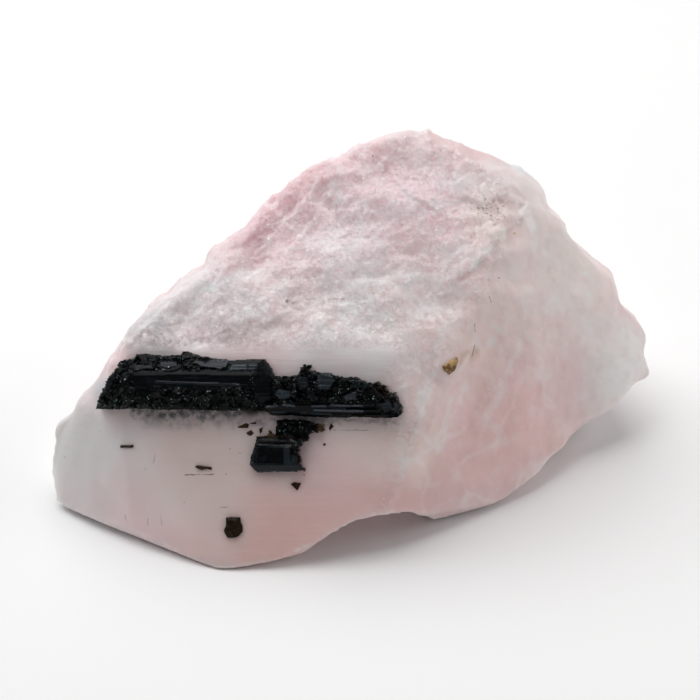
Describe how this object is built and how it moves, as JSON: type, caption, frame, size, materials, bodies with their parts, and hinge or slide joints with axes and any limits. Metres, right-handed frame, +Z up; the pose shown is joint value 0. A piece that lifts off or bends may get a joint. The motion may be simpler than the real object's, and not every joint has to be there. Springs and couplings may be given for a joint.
{
  "type": "rose quartz specimen with black tourmaline",
  "caption": "Rough broken piece of pale pink rose quartz lying on its flat underside, with black tourmaline crystals grown into its smooth front face.",
  "frame": {"origin": "on the ground, under the middle of the stone's box", "axes": "+Z up from the flat underside, +X along the stone's length to the right as the picture shows it, -Y towards the viewer and the face with the crystals"},
  "size_m": [0.1202, 0.08, 0.0624],
  "materials": {
    "rose_quartz": "satin",
    "black_tourmaline": "gloss",
    "brown_tourmaline": "gloss",
    "golden_grain": "satin"
  },
  "bodies": {
    "root": {"quartz": "rose_quartz", "long_tourmaline_crystal": "black_tourmaline", "tourmaline_stub": "black_tourmaline", "small_tourmaline_crystal": "brown_tourmaline", "left_tourmaline_needle": "brown_tourmaline", "middle_tourmaline_needle": "brown_tourmaline", "tourmaline_chip": "brown_tourmaline", "stained_grain": "golden_grain"}
  },
  "joints": []
}
